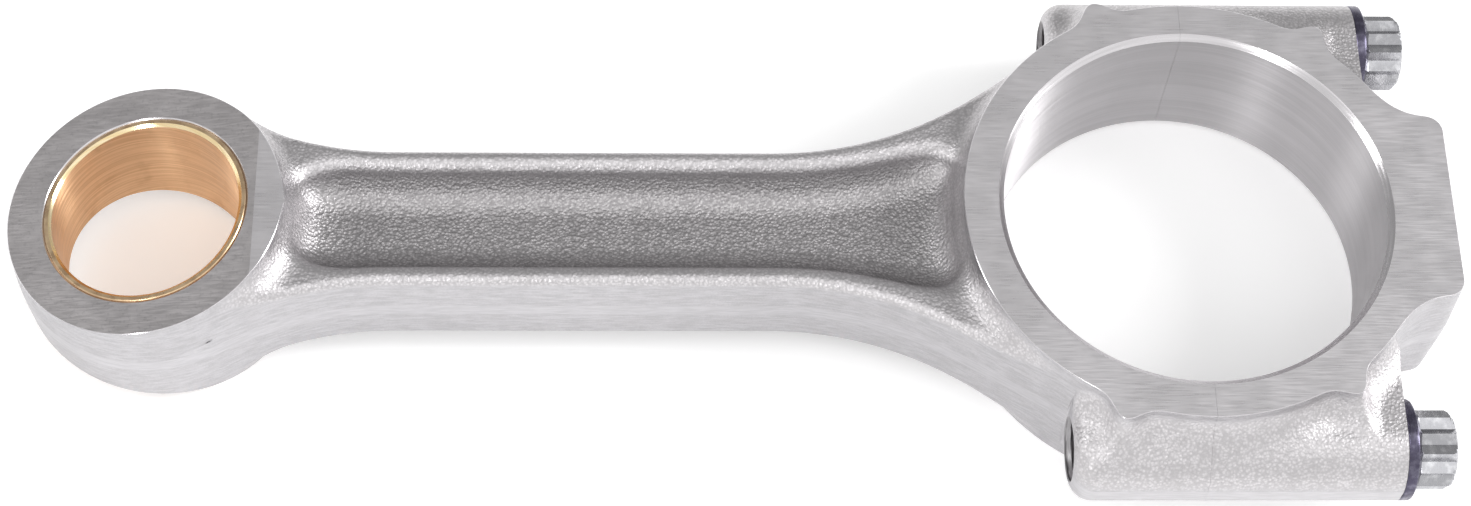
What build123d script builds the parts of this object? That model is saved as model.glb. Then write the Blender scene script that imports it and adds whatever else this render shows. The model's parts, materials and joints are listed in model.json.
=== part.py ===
from build123d import *
import math
import os

os.makedirs("parts", exist_ok=True)

# Forged connecting rod of a four-cylinder engine. Millimetres, +Z up.
# The origin is the centre of the crankpin bore, half way through the rod's width.
# +X runs from the gudgeon pin to the cap, and +Z is along both bores.
# The forging is the same above and below Z = 0, the plane where its two dies met.

# ---- Driving dimensions ----------------------------------------------------------------------
CENTRES = 144.0  # gudgeon pin axis to crankpin axis
WIDTH = 24.0  # over the ground thrust faces of the big end

HOUSING_BORE = 53.0  # crankpin bore, before its bearing shells go in
RING_WALL = 5.7  # housing bore to the forged outside of the ring
BORE_CHAMFER = 0.8

PIN_BORE = 26.0  # bush bore, for a floating gudgeon pin
BUSH_WALL = 1.0
BUSH_CHAMFER = 0.4
EYE_CHAMFER = 0.3  # around the hole that the bush is pressed into
EYE_WALL = 5.3  # bush to the forged outside of the eye
KEYSTONE_ANGLE = 9.2  # each tapered side of the small end, against the mid-plane
KEYSTONE_LAND = 1.2  # from the bush towards the shank, to where the taper begins

SHANK_WIDTH = 21.0  # over both flanges, where the shank is parallel
SHANK_DEPTH = 16.0  # flange top to flange top, along Z
FLARE_RADIUS = 50.0  # the waist spreads into both ends on this radius
FLARE_ANGLE = 31.0  # steepest angle of a flank, where it runs into its bolt boss
FLANGE = 3.0  # width of one flange, across the shank
WEB = 5.0  # thickness left between the two pockets
POCKET_DRAFT = 7.0  # lets the forging leave its dies
POCKET_ROOT = 3.4  # blend between a pocket's walls and its floor
POCKET_CORNER = 5.0  # plan radius of a pocket's four corners
POCKET_RIM = 1.0  # left between a pocket and the bosses at its two ends
FORGED_EDGE = 0.9  # rounding of the shank's outside edges
ROOT_RADIUS = 2.8  # blend at the foot of the ring and of the eye

BOLT = 8.0  # nominal size of the two cap bolts
BOLT_LIGAMENT = 1.0  # least wall between a bolt hole and the housing bore
BOSS_WALL = 2.85  # around a bolt hole
BOSS_TAIL = 18.2  # parting plane to the rod's end of each boss
BOSS_END_ROUND = 3.0
BOLT_SEAT = 26.6  # parting plane to the spot face under each bolt head
SEAT_LENGTH = 12.0  # from the bolt's axis to the inner end of the spot face
HOLE_CHAMFER = 0.5
EAR_HEIGHT = 2.3  # how far the ears over each boss stand out from the ring
EAR_WIDTH = 4.4  # along X, at the thrust face
EAR_ROUND = 1.2
EAR_SLOPE = 24.0  # the sides of an ear spread by this angle as they run down to the boss
EAR_INSET = 12.0  # parting plane to the middle of the rod's ears
EAR_OUTSET = 18.0  # parting plane to the middle of the cap's ears

PAD_HEIGHT = 3.8  # how far the balance pad stands out from the ring
PAD_WIDTH = 28.4
PAD_CORNER = 3.0
PAD_ROOT = 3.5

BOLT_FLANGE = 13.8  # diameter of the flange under the head
BOLT_FLANGE_RIM = 1.5
BOLT_FLANGE_CONE = 0.7
HEAD_ACROSS_FLATS = 9.4  # of each of the two hexagons that make the twelve points
HEAD_HEIGHT = 5.1
HEAD_CHAMFER = 0.7
BOLT_NECKING = 0.5  # cut from the bolt's radius between its guide and its head
BOLT_GUIDE = 5.0  # how far the fitted guide reaches into the cap
BOLT_NECK = 1.5  # length of each step in the bolt's diameter
BOLT_LEAD = 0.7  # chamfer at the bolt's tip
BOLT_SETBACK = 1.8  # the tip stops this far inside the rod's end of the boss

# ---- Fits ------------------------------------------------------------------------------------
BOLT_CLEARANCE = 0.05  # radial, a bolt in its holes
PARTING_GAP = 0.02  # between the rod and its cap
SEAT_GAP = 0.02  # between the cap and a bolt's flange

# ---- Worked out ------------------------------------------------------------------------------
HALF_WIDTH = WIDTH / 2
BORE_R = HOUSING_BORE / 2
RING_R = BORE_R + RING_WALL
PIN_R = PIN_BORE / 2
BUSH_R = PIN_R + BUSH_WALL
EYE_R = BUSH_R + EYE_WALL
BOLT_R = BOLT / 2
HOLE_R = BOLT_R + BOLT_CLEARANCE
BOLT_Y = BORE_R + BOLT_LIGAMENT + HOLE_R
BOSS_R = HOLE_R + BOSS_WALL
SEAT_INNER = BOLT_Y - SEAT_LENGTH
PAD_REACH = RING_R + PAD_HEIGHT
EYE_X = -CENTRES
WAIST_Y = SHANK_WIDTH / 2
SHANK_TOP = SHANK_DEPTH / 2
BEYOND = 4 * RING_R  # past everything at the big end, for cutting tools
TOUCHING = 1e-3  # closer than this counts as on the surface
BOTH_SIDES = (1, -1)


def arc(centre_x, centre_y, radius, start, end):
    """An arc about a centre, between two angles in degrees from +X."""
    points = []
    for angle in (start, (start + end) / 2, end):
        turn = math.radians(angle)
        points.append((centre_x + radius * math.cos(turn), centre_y + radius * math.sin(turn)))
    return ThreePointArc(*points)


def shank_plan(inset):
    """Plan of the shank between the two bore axes, with both flanks pulled in by inset."""
    radius = FLARE_RADIUS + inset
    centre_y = WAIST_Y + FLARE_RADIUS
    # The first arc runs off the eye and onto the waist.
    run = math.sqrt((EYE_R + FLARE_RADIUS) ** 2 - centre_y**2)
    lean = math.degrees(math.atan2(centre_y, run))
    onto_waist = arc(EYE_X + run, centre_y, radius, 180 + lean, 270)
    # The second leaves the waist, and a straight flank carries on from it to the bolt's axis.
    steep = math.radians(FLARE_ANGLE)
    rise = FLARE_RADIUS * (1 - math.cos(steep))
    end_x = -BOSS_TAIL / 2
    bend_x = end_x - (BOLT_Y - WAIST_Y - rise) / math.tan(steep)
    centre_x = bend_x - FLARE_RADIUS * math.sin(steep)
    off_waist = arc(centre_x, centre_y, radius, 270, 270 + FLARE_ANGLE)
    flank_end = (end_x + inset * math.sin(steep), BOLT_Y - inset * math.cos(steep))
    upper = [
        Line((EYE_X, 0), onto_waist @ 0),
        onto_waist,
        Line(onto_waist @ 1, off_waist @ 0),
        off_waist,
        Line(off_waist @ 1, flank_end),
        Line(flank_end, (0, 0)),
        Line((0, 0), (EYE_X, 0)),
    ]
    half = make_face(upper)
    return half + mirror(half, about=Plane.XZ)


def root_blend(radius, foot, rise):
    """A round post whose wall curves outwards into a surface at height foot, above and below."""
    blend = min(ROOT_RADIUS, rise - foot)
    outside = radius + blend
    halfway = math.radians(45)
    bend = (outside - blend * math.cos(halfway), foot + blend * (1 - math.sin(halfway)))
    profile = [
        Line((0, -foot), (outside, -foot)),
        Line((outside, -foot), (outside, foot)),
        ThreePointArc((outside, foot), bend, (radius, foot + blend)),
        Line((radius, foot + blend), (0, foot + blend)),
        Line((0, foot + blend), (0, -foot)),
    ]
    upper = revolve(Plane.XZ * make_face(profile), Axis.Z)
    return upper + mirror(upper, about=Plane.XY)


def on_post(edge, centre_x, radius):
    """True if the edge lies on the round wall of that radius about an upright axis on the mid-line."""
    points = [edge @ share for share in (0, 0.3, 0.7)]
    return all(abs(math.hypot(point.X - centre_x, point.Y) - radius) < TOUCHING for point in points)


def along_x(radius, start, end, y):
    """A cylinder along X, from start to end, at height 0."""
    return Pos((start + end) / 2, y, 0) * Rot(0, 90, 0) * Cylinder(radius, end - start)


def flare_out(radius, size):
    """A cone that chamfers the mouth of a hole whose mouth is at height 0 and faces up."""
    return Pos(0, 0, -size / 2) * Cone(radius, radius + size, size)


def slab(x_start, x_end, y_start, y_end, half_height):
    """A box between two X and two Y values, centred on the mid-plane."""
    centre = Pos((x_start + x_end) / 2, (y_start + y_end) / 2, 0)
    return centre * Box(x_end - x_start, abs(y_end - y_start), 2 * half_height)


# ---- Shank: an I-beam with a drafted pocket in each side -------------------------------------
shank = extrude(shank_plan(0), amount=SHANK_TOP, both=True)

pocket_start = EYE_X + EYE_R + POCKET_RIM
pocket_end = -RING_R - POCKET_RIM
pocket_window = Pos((pocket_start + pocket_end) / 2, 0) * Rectangle(pocket_end - pocket_start, BEYOND)
pocket_plan = shank_plan(FLANGE) & pocket_window
pocket_plan = offset(offset(pocket_plan, -POCKET_CORNER), POCKET_CORNER)
pocket_depth = SHANK_TOP - WEB / 2
pocket = extrude(Pos(0, 0, SHANK_TOP) * pocket_plan, amount=-pocket_depth, taper=POCKET_DRAFT)
pocket = fillet(pocket.edges().group_by(Axis.Z)[0], POCKET_ROOT)
pocket_column = extrude(pocket_plan, amount=HALF_WIDTH, both=True)
shank = shank - pocket - mirror(pocket, about=Plane.XY)
for end in (0, -1):
    shank = fillet(shank.faces().sort_by(Axis.Z)[end].edges(), FORGED_EDGE)

# ---- Small end: an eye whose two sides taper like a keystone ----------------------------------
eye = Pos(EYE_X, 0, 0) * Cylinder(EYE_R, WIDTH)
taper_start = BUSH_R + KEYSTONE_LAND
taper_x = EYE_X + taper_start
taper_run = 2 * EYE_R + taper_start
taper_drop = taper_run * math.tan(math.radians(KEYSTONE_ANGLE))
wedge_profile = Plane.XZ * Polygon(
    (taper_x, HALF_WIDTH),
    (taper_x, 2 * WIDTH),
    (taper_x - taper_run, 2 * WIDTH),
    (taper_x - taper_run, HALF_WIDTH - taper_drop),
    align=None,
)
wedge = extrude(wedge_profile, amount=2 * EYE_R, both=True)
keystone = wedge + mirror(wedge, about=Plane.XY)

# ---- Blends where the shank runs into the two ends ---------------------------------------------
blend_limit = extrude(shank_plan(FORGED_EDGE), amount=HALF_WIDTH, both=True) - pocket_column
eye_blend = Pos(EYE_X, 0, 0) * root_blend(EYE_R, SHANK_TOP, HALF_WIDTH) & blend_limit
ring_blend = root_blend(RING_R, SHANK_TOP, HALF_WIDTH) & blend_limit

# ---- Big end: ring, balance pad and two bolt bosses -------------------------------------------
big_end = Cylinder(RING_R, WIDTH)
pad = slab(0, PAD_REACH, -PAD_WIDTH / 2, PAD_WIDTH / 2, HALF_WIDTH)
pad = fillet(pad.edges().filter_by(Axis.Z).group_by(Axis.X)[-1], PAD_CORNER)
big_end += pad
pad_meets_ring = math.sqrt(RING_R**2 - (PAD_WIDTH / 2) ** 2)
uprights = big_end.edges().filter_by(Axis.Z)
pad_roots = uprights.filter_by(lambda edge: abs(edge.center().X - pad_meets_ring) < PAD_ROOT / 10)
big_end = fillet(pad_roots, PAD_ROOT)

boss_blend = root_blend(RING_R, BOSS_R, HALF_WIDTH)
for side in BOTH_SIDES:
    boss = along_x(BOSS_R, -BOSS_TAIL, BOLT_SEAT, side * BOLT_Y)
    boss = fillet(boss.edges().group_by(Axis.X)[0], BOSS_END_ROUND)
    web = slab(-BOSS_TAIL + BOSS_END_ROUND, BOLT_SEAT, side * SEAT_INNER, side * BOLT_Y, BOSS_R)
    over_web = slab(-BOSS_TAIL + BOSS_END_ROUND, BOLT_SEAT, side * SEAT_INNER, side * BOLT_Y, HALF_WIDTH)
    big_end += boss + web + (boss_blend & over_web)
    for ear_x in (-EAR_INSET, EAR_OUTSET):
        ear_length = math.sqrt((RING_R + EAR_HEIGHT) ** 2 - ear_x**2) - SEAT_INNER
        ear_plan = RectangleRounded(EAR_WIDTH, ear_length, EAR_ROUND)
        ear_plan = Pos(ear_x, side * (SEAT_INNER + ear_length / 2), HALF_WIDTH) * ear_plan
        ear = extrude(ear_plan, amount=-HALF_WIDTH, taper=-EAR_SLOPE)
        ear = ear & slab(-BOSS_TAIL, BOLT_SEAT, 0, side * (BOLT_Y + BOSS_R), HALF_WIDTH)
        big_end += ear + mirror(ear, about=Plane.XY)

# ---- Machining --------------------------------------------------------------------------------
forging = shank + eye + eye_blend + ring_blend + big_end - keystone
forging -= Pos(EYE_X, 0, 0) * Cylinder(BUSH_R, 2 * WIDTH)
bush_rims = forging.edges().filter_by(lambda edge: on_post(edge, EYE_X, BUSH_R))
forging = chamfer(bush_rims, EYE_CHAMFER)
forging -= Cylinder(BORE_R, 2 * WIDTH)
for side in BOTH_SIDES:
    forging -= along_x(HOLE_R, -BOSS_TAIL - BOLT_Y, BOLT_SEAT + BOLT_Y, side * BOLT_Y)
    for mouth_x, facing in ((-BOSS_TAIL, Rot(0, -90, 0)), (BOLT_SEAT, Rot(0, 90, 0))):
        countersink = flare_out(HOLE_R, HOLE_CHAMFER)
        forging -= Pos(mouth_x, side * BOLT_Y, 0) * facing * countersink
for facing in (Rot(0, 0, 0), Rot(180, 0, 0)):
    forging -= facing * Pos(0, 0, HALF_WIDTH) * flare_out(BORE_R, BORE_CHAMFER)

rod_side = slab(-BEYOND - CENTRES, -PARTING_GAP / 2, -BEYOND, BEYOND, WIDTH)
cap_side = slab(PARTING_GAP / 2, BEYOND, -BEYOND, BEYOND, WIDTH)
rod = forging & rod_side
cap = forging & cap_side
export_step(rod, "parts/rod.step")
export_step(cap, "parts/cap.step")

# ---- Bush: ground off flush with the tapered sides after it was pressed in ---------------------
bush = Pos(EYE_X, 0, 0) * (Cylinder(BUSH_R, WIDTH) - Cylinder(PIN_R, WIDTH)) - keystone
inner_rims = bush.edges().filter_by(GeomType.ELLIPSE).sort_by(SortBy.LENGTH)[:2]
bush = chamfer(inner_rims, BUSH_CHAMFER)
export_step(bush, "parts/small_end_bush.step")

# ---- Cap bolts: twelve-point flange heads, necked shank, threaded into the rod -----------------
flange_face = BOLT_SEAT + SEAT_GAP
rim_top = flange_face + BOLT_FLANGE_RIM
head_base = rim_top + BOLT_FLANGE_CONE
head_top = head_base + HEAD_HEIGHT
corner_r = HEAD_ACROSS_FLATS / 2 / math.cos(math.radians(30))
neck_r = BOLT_R - BOLT_NECKING
tip = -BOSS_TAIL + BOLT_SETBACK
bolt_outline = [
    (tip, 0),
    (tip, BOLT_R - BOLT_LEAD),
    (tip + BOLT_LEAD, BOLT_R),
    (BOLT_GUIDE, BOLT_R),
    (BOLT_GUIDE + BOLT_NECK, neck_r),
    (flange_face - BOLT_NECK, neck_r),
    (flange_face, BOLT_R),
    (flange_face, BOLT_FLANGE / 2),
    (rim_top, BOLT_FLANGE / 2),
    (head_base, corner_r),
    (head_base, 0),
]
stem = revolve(make_face(Polyline(*bolt_outline, close=True)), Axis.X)
head_envelope = [
    (head_base - BOLT_FLANGE_CONE, 0),
    (head_base - BOLT_FLANGE_CONE, corner_r),
    (head_top - HEAD_CHAMFER / 2, corner_r),
    (head_top, corner_r - HEAD_CHAMFER),
    (head_top, 0),
]
envelope = revolve(make_face(Polyline(*head_envelope, close=True)), Axis.X)
twelve_points = Sketch()
for turn in (0, 30):
    twelve_points += RegularPolygon(HEAD_ACROSS_FLATS / 2, 6, major_radius=False, rotation=turn)
head_plane = Plane(origin=(rim_top, 0, 0), x_dir=(0, 1, 0), z_dir=(1, 0, 0))
head = extrude(head_plane * twelve_points, amount=head_top - rim_top) & envelope
bolt = stem + head
for name, side in (("cap_bolt_left", 1), ("cap_bolt_right", -1)):
    export_step(Pos(0, side * BOLT_Y, 0) * bolt, f"parts/{name}.step")
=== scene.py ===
# %% [markdown]
# # A forged connecting rod
# A connecting rod joins a piston's gudgeon pin to the crankshaft. This one is a hot steel forging whose
# working faces were ground and bored afterwards, with a bronze bush in its small end, and a cap that two
# bolts hold to its big end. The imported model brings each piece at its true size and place, so the sizes
# here come from that frame. The CAD solids are right in outline but plain, because a forging's drafted
# sides and blended hollows are hard to fillet in CAD. They are easy as a height worked out with numpy, so
# the rod, the cap, the bush and the bolts are all made again here and stand for their CAD nodes.

# %% Load the frame
import json
import math
import bmesh
import bpy
import numpy as np
from mathutils import Euler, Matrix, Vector


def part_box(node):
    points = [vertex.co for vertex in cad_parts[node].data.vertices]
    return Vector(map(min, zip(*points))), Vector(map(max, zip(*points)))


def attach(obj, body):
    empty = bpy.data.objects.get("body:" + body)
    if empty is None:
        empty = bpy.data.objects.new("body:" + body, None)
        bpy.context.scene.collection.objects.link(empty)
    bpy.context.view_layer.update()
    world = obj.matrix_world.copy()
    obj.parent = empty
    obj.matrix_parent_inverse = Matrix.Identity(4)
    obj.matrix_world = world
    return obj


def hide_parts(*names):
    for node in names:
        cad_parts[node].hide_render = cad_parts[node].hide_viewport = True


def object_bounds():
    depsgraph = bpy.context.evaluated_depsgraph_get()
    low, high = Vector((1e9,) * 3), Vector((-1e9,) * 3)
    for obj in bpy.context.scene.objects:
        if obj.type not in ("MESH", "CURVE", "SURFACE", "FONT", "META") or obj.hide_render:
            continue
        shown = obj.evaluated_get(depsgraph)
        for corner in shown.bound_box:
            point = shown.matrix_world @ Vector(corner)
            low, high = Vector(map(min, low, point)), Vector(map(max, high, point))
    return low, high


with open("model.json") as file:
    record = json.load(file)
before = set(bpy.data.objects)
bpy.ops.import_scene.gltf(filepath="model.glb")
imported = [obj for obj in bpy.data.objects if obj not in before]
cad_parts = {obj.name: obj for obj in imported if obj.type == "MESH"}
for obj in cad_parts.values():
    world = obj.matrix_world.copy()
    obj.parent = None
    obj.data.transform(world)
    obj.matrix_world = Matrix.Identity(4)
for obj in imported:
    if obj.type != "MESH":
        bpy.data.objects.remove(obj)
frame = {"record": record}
cad_low, cad_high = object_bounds()
mounts = {mount["name"]: mount for mount in frame["record"]["mounts"]}
MM = 0.001

# %% [markdown]
# ## Sizes that come from the frame
# Everything below is worked out in millimetres, with the crankpin bore's axis as the Z axis at the origin
# and the rod along X, and is turned to metres only when a mesh is made. Where two pieces have to fit, the
# size is read from the frame and never typed again.

# %% Read the sizes
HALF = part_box("rod")[1].z / MM
BORE = mounts["crankpin_bore"]["dims"]["r_mm"]
PIN_BORE = mounts["gudgeon_pin_bore"]["dims"]["r_mm"]
PIN_X = mounts["gudgeon_pin_bore"]["pos_m"][0] / MM
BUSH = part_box("small_end_bush")[1].y / MM
EYE = PIN_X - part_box("rod")[0].x / MM
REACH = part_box("cap")[1].x / MM
bolt_low, bolt_high = (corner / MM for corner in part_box("cap_bolt_left"))
BOLT_Y = (bolt_low.y + bolt_high.y) / 2
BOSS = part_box("rod")[1].y / MM - BOLT_Y
print(f"half width {HALF:.2f}, bores {BORE:.2f} and {PIN_BORE:.2f}, pin at {PIN_X:.2f}, eye {EYE:.2f}")
print(f"bolts at {BOLT_Y:.2f}, from {bolt_low.x:.2f} to {bolt_high.x:.2f}, boss {BOSS:.2f}")
print(f"pad to {REACH:.2f}")

# %% [markdown]
# ## Drafted sides
# A forging has to leave its two dies, so its sides lean by a few degrees and its edges are rounded by the
# die's own corners. Where the dies meet, the squeezed-out flash is trimmed off, which leaves a narrow
# upright band round the middle. A side could be lofted between two outlines. Here it is a height instead:
# a function of the distance out from an outline, so one rule serves the ring, the shank and the pocket.

# %% Heights of a drafted side
TRIM = 1.3  # half height of the upright band left by trimming
DRAFT = math.radians(2.2)


def flat_top(out, top, rounding, draft):
    """Height at a distance out from an outline: top inside it, then a quarter round of radius
    rounding, then a side that falls by one for every tan(draft) outwards."""
    start = rounding * (math.tan(draft) - 1 / math.cos(draft))
    arc = top - rounding + np.sqrt(np.maximum(rounding**2 - np.clip(out - start, 0, rounding) ** 2, 0))
    side = top - out / math.tan(draft)
    return np.where(out < start, top, np.where(out < start + rounding * math.cos(draft), arc, side))


def root(out, radius):
    """How far a blend of that radius stands above its foot, at a distance out from the wall it climbs:
    radius less the height of a circle, so radius at the wall and nothing at one radius away."""
    left = radius - np.clip(out, 0, radius)
    return radius - np.sqrt(radius**2 - left**2)


def soft_min(a, b, blend):
    """The lower of a and b, with the corner between them rounded over a width of blend."""
    share = np.clip(0.5 + 0.5 * (b - a) / blend, 0, 1)
    return b * (1 - share) + a * share - blend * share * (1 - share)


# %% [markdown]
# ## The shank
# The shank is an I-beam: two flanges and a thin web. Its flanks leave the small eye on an arc, run
# straight along the waist, and flare out on another arc towards the bolt bosses, while the flanges grow
# wider. The pocket on each side is sunk by a rounded punch, so its walls are S-curves, its corners are
# round, and its ends rise gently towards the eye and the ring.

# %% Sizes of the shank
WAIST = 10.35  # half width over the flange tops
TOP = 8.0  # of the flanges, above the middle plane
FLARE = 50.0  # radius of both flank arcs
FLARE_ANGLE = math.radians(31)
EYE_ANGLE = math.radians(40)  # steepest that each arc gets
TAIL = 18.2  # the rod's end of a bolt boss
FLANGE = 3.0
FLANGE_GROWTH = 0.3  # how much of the flare goes into a wider flange
WEB = 2.5  # half of the web's thickness
POCKET_ROOT = 5.2
POCKET_CORNER = 5.4
POCKET_EDGE = 1.9
POCKET_FROM_EYE = 0.6  # from the eye's outside to the pocket's end
POCKET_FROM_RING = 6.6  # from the crankpin bore to the pocket's other end
FLANK_EDGE = 1.3
END_SLOPE = 0.6  # how gently the pocket's ends rise, beside its sides
EYE_TOP = EYE - (HALF - TRIM) * math.tan(DRAFT)
eye_at_flange = EYE_TOP + (HALF - TOP) * math.tan(DRAFT)
waist_start = PIN_X + math.sqrt((eye_at_flange + FLARE) ** 2 - (WAIST + FLARE) ** 2)
flare_rise = FLARE * (1 - math.cos(FLARE_ANGLE))
bend_x = -TAIL / 2 - (BOLT_Y - WAIST - flare_rise) / math.tan(FLARE_ANGLE)
waist_end = bend_x - FLARE * math.sin(FLARE_ANGLE)
print(f"waist from {waist_start:.1f} to {waist_end:.1f}, flank bends at {bend_x:.1f}")

# %% Height of the shank
def flare(along, steepest):
    """Rise of a flank and its slope, at a distance along from the waist: a circle's rise
    FLARE - sqrt(FLARE^2 - along^2) until it is at the steepest angle, and straight from there."""
    on_arc = np.clip(along, 0, FLARE * math.sin(steepest))
    down = np.sqrt(FLARE**2 - on_arc**2)
    return FLARE - down + np.maximum(along - on_arc, 0) * math.tan(steepest), on_arc / down


def flank(x):
    """Half width of the shank at x, and the cosine of its flank's angle."""
    small_rise, small_slope = flare(waist_start - x, EYE_ANGLE)
    big_rise, big_slope = flare(x - waist_end, FLARE_ANGLE)
    return WAIST + small_rise + big_rise, 1 / np.sqrt(1 + (big_slope - small_slope) ** 2)


def rounded_inside(a, b, corner):
    """Distance out from a corner of that radius between two edges, a and b being the distances out
    from each edge."""
    a, b = a + corner, b + corner
    return np.minimum(np.maximum(a, b), 0) + np.hypot(np.maximum(a, 0), np.maximum(b, 0)) - corner


def pocket_floor(depth):
    """Height at a distance inside the pocket's outline: a rim and a root, two arcs that meet on the
    outline at the steepest angle, for which (rim + root) * (1 - cos(angle)) is the pocket's depth."""
    steepest = math.acos(1 - (TOP - WEB) / (POCKET_EDGE + POCKET_ROOT))
    rim_width, root_width = POCKET_EDGE * math.sin(steepest), POCKET_ROOT * math.sin(steepest)
    rim = TOP - POCKET_EDGE + np.sqrt(POCKET_EDGE**2 - np.clip(depth + rim_width, 0, rim_width) ** 2)
    foot = WEB + POCKET_ROOT - np.sqrt(POCKET_ROOT**2 - np.clip(root_width - depth, 0, root_width) ** 2)
    return np.where(depth < 0, rim, foot)


def from_ends(x, y):
    """Distance inside the nearer of the pocket's two ends, a line at the eye and an arc at the ring."""
    return np.minimum(x - PIN_X - EYE - POCKET_FROM_EYE, np.hypot(x, y) - BORE - POCKET_FROM_RING)


def pocket_depth(x, y):
    """Distance inside the pocket's outline: from each flank less its flange, and from both ends."""
    half, lean = flank(x)
    along = -from_ends(x, y) * END_SLOPE
    across = (np.abs(y) - half + FLANGE + FLANGE_GROWTH * (half - WAIST)) * lean
    return -rounded_inside(across, along, POCKET_CORNER)


def shank_height(x, y):
    """Lower of the flank's height and the pocket's."""
    half, lean = flank(x)
    side = flat_top((np.abs(y) - half) * lean, TOP, FLANK_EDGE, DRAFT)
    return np.minimum(side, pocket_floor(pocket_depth(x, y)))


print(f"web floor at {shank_height(PIN_X / 2, 0.0):.2f}, flange top at {shank_height(PIN_X / 2, 9.0):.2f}")

# %% [markdown]
# ## The big end
# The ring carries two long bosses for the cap bolts, a balance pad that is ground to weight after
# machining, and small ears beside each boss where the die was cut away for the bolt heads. It is one
# outline, a circle with ears joined softly to the pad's box, and below it lie the shank and the bosses.

# %% Height of the big end
SEAT = 26.6  # spot face under each bolt's flange
SEAT_INNER = 19.4  # where the spot face ends towards the pad
SEAT_ANGLE = math.atan2(SEAT_INNER, SEAT)
RING_TOP = 32.0  # radius of the ring at its ground faces
RING_ROOT = 4.4  # blend at the ring's foot
EAR_ROOT = 0.5  # how much wider the blend gets for each millimetre of ear
PAD_HALF = 14.0
PAD_CORNER = 2.4
PAD_BLEND = 5.0
BOSS_END = 3.0  # rounding of a boss's tail
BOSS_SIDE_EDGE = 1.4
BOSS_SIDE_DRAFT = math.radians(6)
BOSS_BLEND = 1.0
SHANK_END = -9.0  # the shank is cut off here, well inside the ring
SINK_START, SINK_LENGTH = -28.0, 14.0  # where its flanges sink to the height of the bosses
EARS = ((111.0, 4.2, 2.5), (55.3, 3.9, 2.6))  # angle, width and height of each


def ears(x, y):
    """Height of the ears at a point, as bells over the angle round the crankpin."""
    angle = np.degrees(np.arctan2(np.abs(y), x))
    return sum(high * np.exp(-(((angle - centre) / width) ** 2)) for centre, width, high in EARS)


def ring_distance(x, y):
    """Distance out from the ground face's outline: the ring with its ears, joined softly to the pad's
    box, and never past the flat end that the pad is ground to."""
    middle = (REACH - (HALF - TRIM) * math.tan(DRAFT)) / 2
    pad = rounded_inside(np.abs(x - middle) - middle, np.abs(y) - PAD_HALF, PAD_CORNER)
    return np.maximum(soft_min(np.hypot(x, y) - RING_TOP - ears(x, y), pad, PAD_BLEND), x - 2 * middle)


def boss_height(x, y):
    """Height of a long boss: a half cylinder outside its bolt, flat inwards from there, with a rounded
    tail. Its head end is cut square, and towards the pad it stops at a radial side."""
    into_tail = np.clip(-(TAIL - BOSS_END) - x, 0, BOSS_END)
    radius = BOSS - BOSS_END + np.sqrt(BOSS_END**2 - into_tail**2)
    away = np.maximum(np.abs(y) - BOLT_Y, 0)
    body = np.where(away < radius, np.sqrt(np.maximum(radius**2 - away**2, 0)), radius - away)
    beside = (SEAT_ANGLE - np.arctan2(np.abs(y), x)) * np.hypot(x, y)
    body = np.minimum(body, flat_top(beside, BOSS, BOSS_SIDE_EDGE, BOSS_SIDE_DRAFT))
    return np.where((x >= -TAIL - 0.001) & (x <= SEAT + 0.001), body, -HALF)


def big_end_height(x, y):
    """Highest of the ring's drafted side, and of its blend standing on the shank or on a boss."""
    sinking = np.clip((x - SINK_START) / SINK_LENGTH, 0, 1)
    shank = np.where(x < SHANK_END, shank_height(x, y) - (TOP - BOSS) * sinking, -HALF)
    below = -soft_min(-shank, -boss_height(x, y), BOSS_BLEND)
    out = ring_distance(x, y)
    blend = RING_ROOT + EAR_ROOT * ears(x, y)
    return np.maximum(HALF - out / math.tan(DRAFT), below + root(out, blend))


# %% [markdown]
# ## The small end
# The eye is a drafted ring too. Its two faces are ground to a wedge, called a keystone, which is widest
# towards the shank and leaves the piston more bearing area on top. So its faces have a fold across them,
# where the wedge meets a strip that stays at full width.

# %% Height of the small end
KEYSTONE = math.tan(math.radians(9.2))
FOLD_X = PIN_X + BUSH + 1.2
POINT = 0.4  # the small peak of the eye's outline towards the shank
POINT_SPREAD = 7  # degrees to either side
EYE_ROOT = 4.2  # blend at the eye's foot
SHANK_START = 0.47  # how far out into the eye's wall the shank begins


def eye_height(x, y):
    """Higher of the eye's drafted side and its blend standing on the shank."""
    angle = np.degrees(np.arctan2(y, x - PIN_X))
    out = np.hypot(x - PIN_X, y) - EYE_TOP - POINT * np.exp(-np.abs(angle) / POINT_SPREAD)
    shank = np.where(x > PIN_X + EYE * SHANK_START, shank_height(x, y), -HALF)
    return np.maximum(HALF - out / math.tan(DRAFT), shank + root(out, EYE_ROOT))


def eye_face(x):
    """Height of the ground faces: full width beyond the fold, and leaning down before it."""
    return HALF - KEYSTONE * np.maximum(FOLD_X - x, 0)


print(f"the eye is {2 * eye_face(PIN_X - EYE_TOP):.2f} wide at its end, and {2 * HALF:.2f} beyond its fold")

# %% [markdown]
# ## From heights to surfaces
# A height over a plain square grid would cut the outlines into steps. So the grid follows the shape: round
# each bore it is polar, and along the shank its rows run across from flank to flank. Each row or spoke is
# first sampled finely, and is then divided evenly by its length in space, so a steep wall gets as many
# points as a flat of the same length.

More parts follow.
